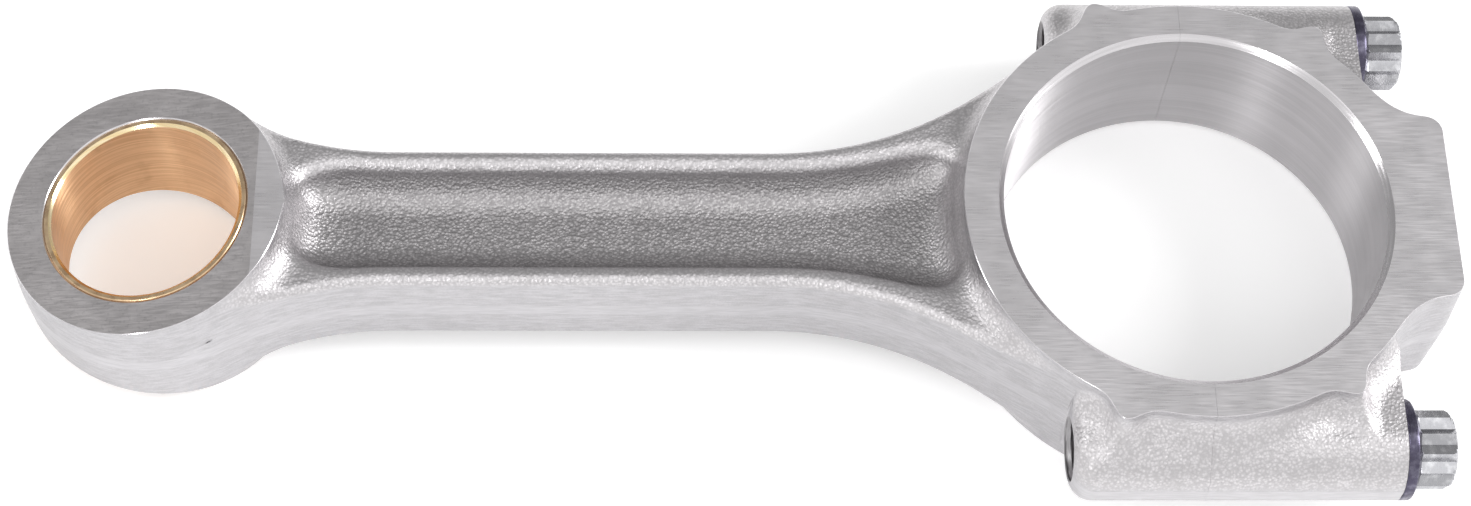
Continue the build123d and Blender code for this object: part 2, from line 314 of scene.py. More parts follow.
# %% Spacing points along curves
def evenly(curves, count):
    """Curves, an array of shape (curves, points, 3), each divided into count points at equal steps of
    length: the wanted lengths are looked up in the running total of the fine steps."""
    steps = np.linalg.norm(np.diff(curves, axis=1), axis=2)
    total = np.concatenate([np.zeros((len(curves), 1)), np.cumsum(steps, axis=1)], axis=1)
    wanted = np.linspace(0, 1, count)[None, :] * total[:, -1:]
    before = np.clip((total[:, None, :] <= wanted[:, :, None]).sum(2) - 1, 0, curves.shape[1] - 2)
    start = np.take_along_axis(total, before, 1)
    gap = np.maximum(np.take_along_axis(total, before + 1, 1) - start, 1e-9)
    share = np.clip((wanted - start) / gap, 0, 1)[..., None]
    here = np.take_along_axis(curves, before[..., None], 1)
    there = np.take_along_axis(curves, before[..., None] + 1, 1)
    return here + (there - here) * share


def crossing(reach, height, level, last):
    """Where each row of heights passes down through a level: after its last point above it, or at its
    first point below. The place between the two samples is found by proportion."""
    above = height >= level
    if last:
        index = height.shape[1] - 1 - np.argmax(above[:, ::-1], axis=1)
    else:
        index = np.argmax(~above, axis=1) - 1
    index = np.clip(index, 0, height.shape[1] - 2)[:, None]
    upper = np.take_along_axis(height, index, 1) - level
    lower = level - np.take_along_axis(height, index + 1, 1)
    start = np.take_along_axis(reach, index, 1)
    step = np.take_along_axis(reach, index + 1, 1) - start
    return (start + step * np.clip(upper / np.maximum(upper + lower, 1e-9), 0, 1))[:, 0]


def around(centre_x, angle, reach, height):
    """Points at an angle and a reach from an upright axis, at a height."""
    angle, reach, height = np.broadcast_arrays(angle, reach, height)
    return np.stack([centre_x + reach * np.cos(angle), reach * np.sin(angle), height], axis=-1)


def between(first, second, count):
    """Rows of points from one row to another, evenly, both of them included."""
    share = np.linspace(0, 1, count)[:, None, None]
    return first[None] * (1 - share) + second[None] * share


# %% [markdown]
# ## The shank's surface
# The shank's rows run from an arc round the crankpin to an arc round the gudgeon pin, and each row in
# between is a mix of the two. The ends of the first and last rows are where the polar grids take over, so
# both sides of each seam use the same points.

# %% Rows of the shank
SEAM_RING = 38.0  # radius of the arc round the crankpin
SEAM_EYE = 24.0  # radius of the arc round the gudgeon pin
WALL_ROWS = 4  # points down the trimmed band to the middle plane
SHANK_ROWS, SHANK_POINTS, FINE = 96, 124, 1400
WIDEST = 19.0  # more than the shank's half width anywhere
MIDWAY = -80.0  # the eye's blend stands on the shank before it, and the ring's beyond it
shank_share = np.linspace(0, 1, SHANK_ROWS)[:, None]
half_y = np.linspace(-WIDEST, WIDEST, FINE)[None, FINE // 2:]


def shank_x(share, y):
    """Mix of x on the arc round the crankpin and x on the arc round the gudgeon pin."""
    return -np.sqrt(SEAM_RING**2 - y**2) * (1 - share) + (PIN_X + np.sqrt(SEAM_EYE**2 - y**2)) * share


def shank_surface(x, y):
    """The shank with the foot of each end's blend on it."""
    return np.where(x > MIDWAY, big_end_height(x, y), eye_height(x, y))


half_height = shank_surface(shank_x(shank_share, half_y), half_y)
edge_y = crossing(np.repeat(half_y, SHANK_ROWS, 0), half_height, TRIM, True)
row_y = edge_y[:, None] * np.linspace(-1, 1, FINE)[None, :]
row_x = shank_x(shank_share, row_y)
row_z = np.maximum(shank_surface(row_x, row_y), TRIM)
shank_rows = evenly(np.stack([row_x, row_y, row_z], axis=-1), SHANK_POINTS)
shank_rows[:, 0, 2] = shank_rows[:, -1, 2] = TRIM
drop = np.linspace(TRIM, 0, WALL_ROWS)[None, :, None] * np.array([0, 0, 1.0])
wall = np.array([1.0, 1.0, 0])
shank_grid = np.concatenate([
    shank_rows[:, :1] * wall + drop[:, ::-1], shank_rows[:, 1:-1], shank_rows[:, -1:] * wall + drop], axis=1)
print("shank grid", shank_grid.shape, "half width at the seams", edge_y[0].round(2), edge_y[-1].round(2))

# %% [markdown]
# ## The two polar grids
# Round each bore the surface is a wheel of spokes. A spoke climbs the bore's wall, crosses its chamfer and
# the ground face, follows the height out to the trim line, and drops down the trimmed band to the middle
# plane. Where the shank joins on, the spokes stop at its seam. Only the upper half is worked out: the
# lower half is its mirror image.

# %% Spokes of the big end
OUTSIDE, EYE_OUTSIDE = 50.0, 26.0  # past each end's outline in every direction
FINE_SPOKE, EYE_FINE_SPOKE = 1000, 900
CHAMFER = 0.8
BROKEN = 0.08  # size of the broken edge round a ground face
FACE_ROWS = 4  # points across a ground face
CURVE_ROWS, EYE_CURVE_ROWS = 40, 34  # points over the forged skin, from a face to the trim line
FINE_CURVE = 600
SNAP = 0.06  # a spoke that ends this close to a square cut ends on it


def finish_spokes(inner_rows, curve, dropped):
    """All rows of a wheel: its machined rows, its forged curve, and its drop to the middle plane, which
    the dropped spokes go without."""
    outer = between(curve[:, -1], curve[:, -1] * np.array([1, 1, 0]), WALL_ROWS)
    grid = np.concatenate([*inner_rows, curve.transpose(1, 0, 2)[1:], outer[1:]])
    keep = np.ones((len(grid) - 1, grid.shape[1] - 1), bool)
    keep[-(WALL_ROWS - 1):, dropped] = False
    return grid, keep


def big_end_spokes(angle, seam_points, seam_start):
    """The big end's grid at the given angles. From seam_start on, the spokes end at seam_points."""
    seam = slice(seam_start, seam_start + len(seam_points))
    reach = np.repeat(np.linspace(BORE + 2, OUTSIDE, FINE_SPOKE)[None], len(angle), 0)
    height = big_end_height(reach * np.cos(angle)[:, None], reach * np.sin(angle)[:, None])
    edge = crossing(reach, height, HALF, False)
    end = crossing(reach, height, TRIM, True)
    cosine = np.where(np.abs(np.cos(angle)) < 0.05, 0.05, np.cos(angle))
    square_cut = np.where(cosine > 0, SEAT, -TAIL) / cosine
    end = np.where(np.abs(square_cut - end) < SNAP, square_cut, end)
    end[seam] = SEAM_RING
    reach = edge[:, None] + (end - edge)[:, None] * np.linspace(0, 1, FINE_CURVE)[None]
    height = big_end_height(reach * np.cos(angle)[:, None], reach * np.sin(angle)[:, None])
    height = np.clip(height, TRIM, HALF - BROKEN)
    curve = evenly(around(0, angle[:, None], reach, height), CURVE_ROWS)
    curve[seam, -1] = seam_points
    rim = around(0, angle, BORE + CHAMFER, HALF)
    inner = [around(0, angle, BORE, 0)[None], around(0, angle, BORE, HALF - CHAMFER)[None],
             between(rim, around(0, angle, edge - BROKEN, HALF), FACE_ROWS), curve[None, :, 0]]
    return finish_spokes(inner, curve, slice(seam_start, seam_start + max(len(seam_points) - 1, 0)))


ring_seam = shank_rows[0, ::-1]
seam_angles = np.arctan2(ring_seam[:, 1], ring_seam[:, 0]) % (2 * math.pi)
seat_corner = math.atan2(BOLT_Y + math.sqrt(BOSS**2 - TRIM**2), SEAT)
beside_seat = SEAT_ANGLE + np.array([-0.001, 0, 0.002, 0.004])
main_angles = np.sort(np.r_[np.radians(np.arange(0.5, 180, 0.5)), beside_seat, seat_corner])
to_seam = (main_angles > math.pi / 2 + 0.001) & (main_angles < seam_angles[0] - 0.002)
upper = np.r_[math.pi / 2, main_angles[to_seam]]
rod_angles = np.concatenate([upper, seam_angles, 2 * math.pi - upper[::-1]])
rod_grid, rod_keep = big_end_spokes(rod_angles, ring_seam, len(upper))
side = main_angles[main_angles < math.pi / 2 - 0.001]
cap_angles = np.concatenate([[-math.pi / 2], -side[::-1], [0], side, [math.pi / 2]])
cap_grid, cap_keep = big_end_spokes(cap_angles, np.zeros((0, 3)), 0)
SPLIT = 0.01  # half of the gap that fracture-splitting leaves between rod and cap
rod_grid[:, [0, -1], 0] = -SPLIT
cap_grid[:, [0, -1], 0] = SPLIT
print("big end grids", rod_grid.shape, cap_grid.shape)

# %% Spokes of the small end
EYE_CHAMFER = 0.3
eye_seam = shank_rows[-1]
eye_seam_angles = np.arctan2(eye_seam[:, 1], eye_seam[:, 0] - PIN_X)


def small_end_spokes(angle):
    """The small end's grid. Its face is in two parts, before and beyond the fold."""
    seam = slice(0, len(eye_seam))
    reach = np.repeat(np.linspace(BUSH + 1, EYE_OUTSIDE, EYE_FINE_SPOKE)[None], len(angle), 0)
    x = PIN_X + reach * np.cos(angle)[:, None]
    height = eye_height(x, reach * np.sin(angle)[:, None])
    edge = crossing(reach, height - eye_face(x), 0, False)
    end = crossing(reach, height, TRIM, True)
    end[seam] = SEAM_EYE
    reach = edge[:, None] + (end - edge)[:, None] * np.linspace(0, 1, FINE_CURVE)[None]
    x = PIN_X + reach * np.cos(angle)[:, None]
    height = np.clip(eye_height(x, reach * np.sin(angle)[:, None]), TRIM, eye_face(x) - BROKEN)
    curve = evenly(around(PIN_X, angle[:, None], reach, height), EYE_CURVE_ROWS)
    curve[seam, -1] = eye_seam
    along = np.maximum(np.cos(angle), 0.01)
    fold = np.clip((FOLD_X - PIN_X) / along, BUSH + EYE_CHAMFER + 0.2, edge - BROKEN)

    def on_face(radius, lowered=0.0):
        """Points on the ground face, or that far below it, at a radius from the gudgeon pin."""
        radius = np.broadcast_to(radius, angle.shape)
        return around(PIN_X, angle, radius, eye_face(PIN_X + radius * np.cos(angle)) - lowered)

    at_fold, at_edge = on_face(fold), on_face(edge - BROKEN)
    inner = [around(PIN_X, angle, BUSH, 0)[None], on_face(BUSH, EYE_CHAMFER)[None],
             between(on_face(BUSH + EYE_CHAMFER), at_fold, FACE_ROWS),
             between(at_fold, at_edge, FACE_ROWS)[1:], curve[None, :, 0]]
    return finish_spokes(inner, curve, slice(0, len(eye_seam) - 1))


first = eye_seam_angles[-1]
fold_exit = math.acos((FOLD_X - PIN_X) / (EYE_TOP + 0.02))
rest = np.sort(np.r_[np.radians(np.arange(2, 358, 2.0)), fold_exit, 2 * math.pi - fold_exit])
rest = rest[(rest > first + 0.004) & (rest < 2 * math.pi - first - 0.004)]
eye_angles = np.concatenate([eye_seam_angles, rest, [2 * math.pi + eye_seam_angles[0]]])
eye_grid, eye_keep = small_end_spokes(eye_angles)
print("small end grid", eye_grid.shape)

# %% [markdown]
# ## Making a mesh
# Each grid becomes quads with their mirror image below. Every quad carries a finish: the forged skin, the
# trimmed band, or the way its face was machined. Shared edges are merged, so each piece is one closed
# skin, and edges sharper than a set angle are marked sharp, so that ground faces stay crisp.

# %% Grids to meshes
FINISHES = [
    "forged_skin", "trimmed_band", "ground_face", "ground_wedge", "honed_bore", "cut_chamfer", "turned_hole"]
SKIN, BAND, GROUND, WEDGE, HONED, CUT, HOLE = range(len(FINISHES))
MERGE = 1.2e-6  # metres between points that are one point


def grid_faces(grid, finish, keep=None, start=0):
    """Quads of a grid whose points are numbered from start, and each quad's finish."""
    rows, columns = grid.shape[:2]
    number = start + np.arange(rows * columns).reshape(rows, columns)
    quads = np.stack([number[:-1, :-1], number[:-1, 1:], number[1:, 1:], number[1:, :-1]], axis=-1)
    kept = np.ones(quads.shape[:2], bool) if keep is None else keep
    return quads[kept], np.broadcast_to(finish, quads.shape[:2])[kept]


def make_mesh(name, grids, ends=()):
    """A closed mesh from (grid, finish, keep) patches and extra many-sided faces, in metres."""
    points, faces, finishes, start = [], [], [], 0
    for grid, finish, keep in grids:
        quads, marks = grid_faces(grid, finish, keep, start)
        points.append(grid.reshape(-1, 3) * MM)
        faces += quads.tolist()
        finishes += marks.tolist()
        start += grid.shape[0] * grid.shape[1]
    for face, mark in ends:
        faces.append(face)
        finishes.append(mark)
    mesh = bpy.data.meshes.new(name)
    mesh.from_pydata(np.concatenate(points).tolist(), [], faces)
    mesh.polygons.foreach_set("material_index", finishes)
    shape = bmesh.new()
    shape.from_mesh(mesh)
    bmesh.ops.remove_doubles(shape, verts=shape.verts, dist=MERGE)
    bmesh.ops.dissolve_degenerate(shape, dist=1e-8, edges=shape.edges)
    bmesh.ops.recalc_face_normals(shape, faces=shape.faces)
    open_edges = sum(len(edge.link_faces) != 2 for edge in shape.edges)
    shape.to_mesh(mesh)
    shape.free()
    print(f"{name}: {len(mesh.polygons)} faces, {open_edges} open edges")
    return mesh


def crisp(mesh, degrees=30):
    """Smooth shading, with edges sharper than the angle kept sharp."""
    mesh.shade_smooth()
    mesh.set_sharp_from_angle(angle=math.radians(degrees))


def add_object(name, mesh):
    """An object at the origin that holds the mesh."""
    thing = bpy.data.objects.new(name, mesh)
    bpy.context.scene.collection.objects.link(thing)
    return thing


def mirrored(grid, finish, keep=None):
    """A patch and its image below the middle plane."""
    return [(grid, finish, keep), (grid * np.array([1, 1, -1]), finish, keep)]


# %% [markdown]
# ## The rod and its cap
# Fracture-splitting breaks the finished big end in two, so both halves share one outline, and each gets a
# flat face where it was torn. That face is one many-sided polygon round the spoke at the split.

# %% Rod and cap skins
ON_SEAT = 0.02  # a quad of the band this close to the spot face's plane was cut with it


def row_finish(inner, rows):
    """Finish of each row of quads: the machined ones, the forged skin, and the trimmed band."""
    marks = inner + [SKIN] * (rows - len(inner) - WALL_ROWS) + [BAND] * (WALL_ROWS - 1)
    return np.array(marks)[:, None]


def split_face(grid, column, start):
    """Polygon round one end of a wheel of spokes and its mirror image."""
    rows, columns = grid.shape[:2]
    above = start + np.arange(rows) * columns + column
    below = above[::-1][1:-1] + rows * columns
    return above.tolist() + below.tolist(), GROUND


big_marks = [HONED, CUT] + [GROUND] * (FACE_ROWS - 1) + [CUT]
eye_marks = [HOLE, CUT] + [WEDGE] * (FACE_ROWS - 1) + [GROUND] * (FACE_ROWS - 1) + [CUT]
shank_marks = np.array([BAND] * (WALL_ROWS - 1) + [SKIN] * (shank_grid.shape[1] - 2 * WALL_ROWS + 1)
                       + [BAND] * (WALL_ROWS - 1))[None, :]
rod_mesh = make_mesh(
    "rod_forging",
    mirrored(rod_grid, row_finish(big_marks, len(rod_grid)), rod_keep)
    + mirrored(shank_grid, shank_marks)
    + mirrored(eye_grid, row_finish(eye_marks, len(eye_grid)), eye_keep),
    [split_face(rod_grid, 0, 0), split_face(rod_grid, rod_grid.shape[1] - 1, 0)])
cap_marks = np.repeat(row_finish(big_marks, len(cap_grid)), cap_grid.shape[1] - 1, axis=1)
middle_x = (cap_grid[-1, 1:, 0] + cap_grid[-1, :-1, 0]) / 2
cap_marks[-(WALL_ROWS - 1):, np.abs(middle_x - SEAT) < ON_SEAT] = GROUND
cap_mesh = make_mesh("cap_forging", mirrored(cap_grid, cap_marks, cap_keep),
                     [split_face(cap_grid, 0, 0), split_face(cap_grid, cap_grid.shape[1] - 1, 0)])

# %% [markdown]
# ## The bolt holes
# The cap's holes are drilled plain, and the rod's are tapped right through, so the open end of a thread
# shows at the tail of each boss. A tapping cut is a tube whose radius rises and falls once for every pitch
# along it and once round it, which makes one groove wind along the hole. A boolean takes it away.

# %% Cutting tools for the holes
HOLE_RADIUS = 4.05
PITCH = 1.25
THREAD_DEPTH = 0.42
COUNTERSINK = 0.5
TAP_ROWS, TAP_COLUMNS, DRILL_COLUMNS = 150, 48, 64
PAST = 2.0  # how far a tool reaches past the metal it cuts


def groove(along, angle):
    """Depth of a screw groove, from 0 on its crest to 1: a clipped triangle wave of along / PITCH plus
    the share of a turn."""
    phase = (along / PITCH + angle / (2 * math.pi)) % 1
    return np.clip(1.5 * (1 - np.abs(2 * phase - 1)) - 0.2, 0, 1)


def tube(along, radius, centre_y, columns):
    """Rows of points round a line along X, each row at its place along and each point at its radius."""
    angle = np.linspace(0, 2 * math.pi, columns + 1)[None, :]
    along, radius, angle = np.broadcast_arrays(along, radius, angle)
    return np.stack([along, centre_y + radius * np.cos(angle), radius * np.sin(angle)], axis=-1)


def closed_tube(along, radius, columns):
    """A tool's mesh: one closed tube at each bolt's axis."""
    grids = []
    for centre_y in (BOLT_Y, -BOLT_Y):
        grid = tube(along, radius, centre_y, columns)
        tips = grid[[0, -1]] * np.array([1, 0, 0]) + np.array([0, centre_y, 0])
        grids.append((np.concatenate([tips[:1], grid, tips[1:]]), HOLE, None))
    return make_mesh("hole_tool", grids)


tap_along = np.linspace(-TAIL - PAST, PAST, TAP_ROWS)[:, None]
tap_angle = np.linspace(0, 2 * math.pi, TAP_COLUMNS + 1)[None, :]
mouth = np.clip(COUNTERSINK - np.maximum(tap_along + TAIL, 0), 0, COUNTERSINK)
tap_radius = HOLE_RADIUS + np.maximum(THREAD_DEPTH * groove(tap_along, tap_angle), mouth)
drill_along = np.array([-PAST, 0, COUNTERSINK, SEAT - COUNTERSINK, SEAT, SEAT + PAST])[:, None]
drill_radius = HOLE_RADIUS + np.array([1, 1, 0, 0, 1, 1])[:, None] * COUNTERSINK


def cut_holes(name, mesh, tool_mesh):
    """The object of a mesh with the tool's tubes taken out of it by an exact boolean."""
    piece, tool = add_object(name, mesh), add_object("tool", tool_mesh)
    modifier = piece.modifiers.new("holes", "BOOLEAN")
    modifier.operation, modifier.solver, modifier.object = "DIFFERENCE", "EXACT", tool
    depsgraph = bpy.context.evaluated_depsgraph_get()
    result = bpy.data.meshes.new_from_object(piece.evaluated_get(depsgraph), depsgraph=depsgraph)
    piece.modifiers.clear()
    piece.data = result
    result.name = name
    bpy.data.objects.remove(tool)
    crisp(result)
    print(f"{name}: {len(result.polygons)} faces after its holes are cut")
    return piece


def mark_pockets(mesh):
    """Gives each point its share of being down in a pocket, which the skin reads as the mask for its
    painted shade and its deeper dents: the depth inside the outline over a short fade, times the distance
    from the pocket's ends over a longer one."""
    places = np.empty(len(mesh.vertices) * 3)
    mesh.vertices.foreach_get("co", places)
    x, y, z = places.reshape(-1, 3).T / MM
    on_shank = (x > PIN_X + EYE * 0.9) & (x < -BORE)
    share = np.clip((pocket_depth(x, y) - FADE_FROM) / RIM_FADE, 0, 1)
    share = share * np.clip(from_ends(x, y) / END_FADE, 0, 1)
    share = share * on_shank * (np.abs(z) < HALF)
    mesh.attributes.new("pocket", "FLOAT", "POINT").data.foreach_set("value", share)
    print("points in the pockets:", int((share > 0).sum()), "of", len(x))


FADE_FROM, RIM_FADE, END_FADE = -0.2, 1.2, 4.0
rod = cut_holes("rod_forging", rod_mesh, closed_tube(tap_along, tap_radius, TAP_COLUMNS))
mark_pockets(rod.data)
cap = cut_holes("cap_forging", cap_mesh, closed_tube(drill_along, drill_radius, DRILL_COLUMNS))

# %% [markdown]
# ## The bush
# The bush is a thin bronze ring pressed into the eye and then faced with it, so its ends lean with the
# wedge. It is one profile carried round the pin: up the outside, over a fine edge, across the end, down a
# bright lead-in chamfer, and down the bore. Only the profile's heights change on the way round.

# %% Bush
BUSH_LEAD = 0.42  # its lead-in chamfer
BUSH_EDGE = 0.12  # its fine outer edge
BUSH_COLUMNS = 192
BUSH_FINISHES = ["bronze_face", "bronze_bore", "bronze_chamfer"]
bush_angle = np.linspace(0, 2 * math.pi, BUSH_COLUMNS + 1)
bush_profile = [  # radius, depth below the face or None for the middle plane, finish of the band after it
    (BUSH, None, 1), (BUSH, BUSH_EDGE, 0), (BUSH - BUSH_EDGE, 0, 0), (PIN_BORE + BUSH_LEAD, 0, 2),
    (PIN_BORE, BUSH_LEAD, 1), (PIN_BORE, None, 1)]
bush_rows = []
for radius, depth, _ in bush_profile:
    face = eye_face(PIN_X + radius * np.cos(bush_angle))
    bush_rows.append(around(PIN_X, bush_angle, radius, face * 0 if depth is None else face - depth))
bush_finish = np.array([band for _, _, band in bush_profile[:-1]])[:, None]
bush_mesh = make_mesh("small_end_bush_ring", mirrored(np.array(bush_rows), bush_finish))
crisp(bush_mesh)
bush = add_object("small_end_bush_ring", bush_mesh)

# %% [markdown]
# ## The cap bolts
# Each bolt has a rolled thread, a waist turned down so that it stretches evenly, and a wide flange under a
# twelve-point head. Twelve points are two hexagons, one turned by 30 degrees: the head's radius at each
# angle is the larger of theirs. The bolt is one profile along X whose radius also depends on the angle.

# %% Bolts
ACROSS_FLATS = 9.4
FLANGE_RADIUS = (bolt_high.y - bolt_low.y) / 2
SHAFT = 4.0
WAISTED = 3.5
RIM = 1.5  # height of the flange's rim
CONE = 0.7  # height of the cone above it
SEAT_GAP = 0.02
BOLT_COLUMNS = 144
THREAD_ROWS = 92
HEAD_TOP = bolt_high.x
FLANGE_FACE = SEAT + SEAT_GAP
bolt_angle = np.linspace(0, 2 * math.pi, BOLT_COLUMNS + 1)[None, :]


def hexagon(angle):
    """Radius of a hexagon with ACROSS_FLATS between its flats: half of that over the cosine of the angle
    from the middle of the nearest flat."""
    return ACROSS_FLATS / 2 / np.cos((angle + math.pi / 6) % (math.pi / 3) - math.pi / 6)


star = np.maximum(hexagon(bolt_angle), hexagon(bolt_angle + math.pi / 6))
tip_radius = ACROSS_FLATS / math.sqrt(3)
VALLEYS = 1.7  # how much deeper the valleys are cut than two plain hexagons leave them
WORN = 0.04  # how much the points are worn
twelve_point = tip_radius - WORN - (tip_radius - star) * VALLEYS
thread_end = -1.5
thread_x = np.linspace(bolt_low.x + 0.8, thread_end, THREAD_ROWS)

# %% The bolt's profile
# Each pair is a place along X and a radius.
POINTS = 9.0  # stands for as far out as the twelve points reach
HEAD_FOOT = 0.25  # how much the head spreads where it meets the flange
CREST_GAP = 0.06  # from a crest of the thread out to the shaft's radius
ROLLED_DEPTH = 0.56
THREAD_FADE = 1.2  # length over which the thread fades out at each end
plain = [(bolt_low.x, 0.0), (bolt_low.x, 2.9), (bolt_low.x + 0.12, 3.2), (bolt_low.x + 0.75, 3.75)]
rim_top = FLANGE_FACE + RIM
head_base = rim_top + CONE
waist = [(thread_end + 0.4, SHAFT), (5, SHAFT), (5.6, 3.8), (6.5, WAISTED), (25.0, WAISTED), (26.0, 3.8),
         (FLANGE_FACE, 4.3), (FLANGE_FACE, 6.6), (FLANGE_FACE + 0.06, 6.8),
         (FLANGE_FACE + 0.2, FLANGE_RADIUS), (rim_top - 0.25, FLANGE_RADIUS), (rim_top - 0.06, 6.82),
         (rim_top + 0.06, 6.62), (head_base - 0.2, 5.85)]
head = [(head_base, POINTS), (head_base + 0.15, POINTS), (HEAD_TOP - 1.0, POINTS),
        (HEAD_TOP - 0.75, 5.42), (HEAD_TOP - 0.35, 5.12), (HEAD_TOP - 0.12, 4.8), (HEAD_TOP - 0.02, 4.4)]
dish = [(HEAD_TOP, 4.1), (HEAD_TOP, 2.9), (HEAD_TOP - 0.1, 2.6), (HEAD_TOP - 0.28, 2.3), (HEAD_TOP - 0.3, 0)]


def rows_of(pairs):
    """Columns of places along X and of radii, from pairs of them."""
    pairs = np.array(pairs)
    return pairs[:, :1], pairs[:, 1:]


def bolt_rows():
    """Places and radii of every row of a bolt, the radii also by angle. The thread is a groove whose
    depth fades to nothing at both its ends."""
    from_thread_end = np.minimum(thread_x - bolt_low.x - 0.6, thread_end - thread_x)
    fade = np.clip(from_thread_end / THREAD_FADE, 0, 1)[:, None]
    threads = SHAFT - CREST_GAP - ROLLED_DEPTH * groove(thread_x[:, None], bolt_angle) * fade
    head_x, head_limit = rows_of(head)
    head_radius = np.minimum(twelve_point + HEAD_FOOT * (head_x == head_base), head_limit)
    parts = [rows_of(plain), (thread_x[:, None], threads), rows_of(waist),
             (head_x, head_radius), rows_of(dish)]
    along = np.concatenate([x for x, _ in parts])
    radius = np.concatenate([np.broadcast_to(r, (len(x), BOLT_COLUMNS + 1)) for x, r in parts])
    return along, radius


BOLT_FINISHES = ["bolt_thread", "bolt_flange", "bolt_head"]
BELOW_FLANGE = 6  # pairs of the waist's list that come before the flange
bolt_along, bolt_radius = bolt_rows()
flange_row = len(plain) + THREAD_ROWS + BELOW_FLANGE
head_row = flange_row + len(waist) - BELOW_FLANGE
band_rows = [flange_row, head_row - flange_row, len(bolt_along) - 1 - head_row]
bolt_finish = np.repeat([0, 1, 2], band_rows)[:, None]
bolts = {}
for side_name, sign in (("left", 1), ("right", -1)):
    bolt_grid = tube(bolt_along, bolt_radius, sign * BOLT_Y, BOLT_COLUMNS)
    mesh = make_mesh(f"cap_bolt_{side_name}_turned", [(bolt_grid, bolt_finish, None)])
    crisp(mesh, 24)
    bolts[side_name] = add_object(f"cap_bolt_{side_name}_turned", mesh)

# %% [markdown]
# ## Finishes
# All the steel is one alloy, and only the work done on it differs. The forged skin was blasted with shot,
# which leaves small bright pits over a grey skin. The ground faces have straight fine scratches, the bores
# have scratches round them, and the cut chamfers are smoother and catch the light. Each finish is a tree
# of nodes on the piece's own coordinates, so its grain has a true size and turns with the piece. The few
# kinds of node are wrapped in one small class, so that each finish reads as a short recipe.

# %% A bench for building finishes
class Bench:
    """One material and short calls that add its nodes. Values and colours that are the same all over go
    straight on the shader."""

    def __init__(self, name, roughness):
        self.material = bpy.data.materials.new(name)
        self.material.use_nodes = True
        self.tree = self.material.node_tree
        self.shader = self.tree.nodes["Principled BSDF"]
        self.shader.inputs["Metallic"].default_value = 1.0
        self.shader.inputs["Roughness"].default_value = roughness
        self.place = self.add("ShaderNodeTexCoord").outputs["Object"]

    def add(self, kind, inputs=None, **settings):
        """A node of a kind, with its settings and inputs, each a value or another node's output."""
        node = self.tree.nodes.new(kind)
        for key, value in settings.items():
            setattr(node, key, value)
        for key, value in (inputs or {}).items():
            if isinstance(value, bpy.types.NodeSocket):
                self.tree.links.new(value, node.inputs[key])
            else:
                node.inputs[key].default_value = value
        return node

    def noise(self, size, detail=2.0, stretch=(1, 1, 1)):
        """Noise whose blobs are about size mm across, and longer by stretch along each axis."""
        scale = tuple(1 / (size * MM * s) for s in stretch)
        placed = self.add("ShaderNodeMapping", {"Vector": self.place, "Scale": scale}).outputs[0]
        return self.add("ShaderNodeTexNoise", {"Vector": placed, "Scale": 1.0, "Detail": detail}).outputs[0]

    def pits(self, size):
        """Distance from the nearest of many scattered dents, size mm apart."""
        inputs = {"Vector": self.place, "Scale": 1 / (size * MM)}
        return self.add("ShaderNodeTexVoronoi", inputs, feature="F1").outputs["Distance"]

    def ramp(self, value, low, high, start=0.0, end=1.0):
        """A value's range from start to end, stretched to run from low to high."""
        inputs = {"Value": value, "From Min": start, "From Max": end, "To Min": low, "To Max": high}
        return self.add("ShaderNodeMapRange", inputs, interpolation_type="SMOOTHSTEP").outputs[0]

    def math(self, operation, first, second=0.0):
        """One sum of two values."""
        return self.add("ShaderNodeMath", {0: first, 1: second}, operation=operation).outputs[0]

    def blend(self, share, first, second):
        """One colour turning into another as share goes from 0 to 1."""
        inputs = {0: share}
        for key, colour in ((6, first), (7, second)):
            inputs[key] = colour if isinstance(colour, bpy.types.NodeSocket) else (*colour, 1)
        return self.add("ShaderNodeMix", inputs, data_type="RGBA").outputs[2]

    def bump(self, height, depth, strength=1.0, under=None):
        """Relief of depth mm on top of the relief under it."""
        inputs = {"Height": height, "Distance": depth * MM, "Strength": strength}
        if under is not None:
            inputs["Normal"] = under
        return self.add("ShaderNodeBump", inputs).outputs[0]

    def facing_up(self):
        """1 on level surfaces and 0 on upright ones."""
        normal = self.add("ShaderNodeNewGeometry").outputs["Normal"]
        return self.math("ABSOLUTE", self.add("ShaderNodeSeparateXYZ", {0: normal}).outputs[2])

    def brushed_round(self, spread):
        """Stretches highlights by spread, up and down the bore: across scratches that run round it."""
        if spread:
            upwards = self.add("ShaderNodeCombineXYZ", {"Z": 1.0}).outputs[0]
            self.tree.links.new(upwards, self.shader.inputs["Tangent"])
            self.shader.inputs["Anisotropic"].default_value = spread

    def finish(self, colour=None, roughness=None, normal=None):
        """Joins what was made to the shader."""
        for key, value in (("Base Color", colour), ("Roughness", roughness), ("Normal", normal)):
            if isinstance(value, tuple):
                self.shader.inputs[key].default_value = (*value, 1)
            elif value is not None:
                self.tree.links.new(value, self.shader.inputs[key])
        print("finish", self.material.name, len(self.tree.nodes), "nodes")
        return self.material


# %% [markdown]
# ## The forged skin
# Blasting dents level surfaces hardest, and more deeply down in the pockets. On the upright sides the die
# has drawn faint streaks along the rod. So the skin's dents grow with how level the surface is, and its grey
# is darker down in a pocket and darker still on the pocket's walls, which is painted shade in the recess.
# Sizes are in millimetres, and each grey is a pair that the specks or streaks mix.

# %% Forged skin
def grey(level, warm=0.0):
    """A grey with a trace of violet, and of warmth where warm is above nothing."""
    return (level * (1 + warm), level * 0.975, level * (1 - warm))


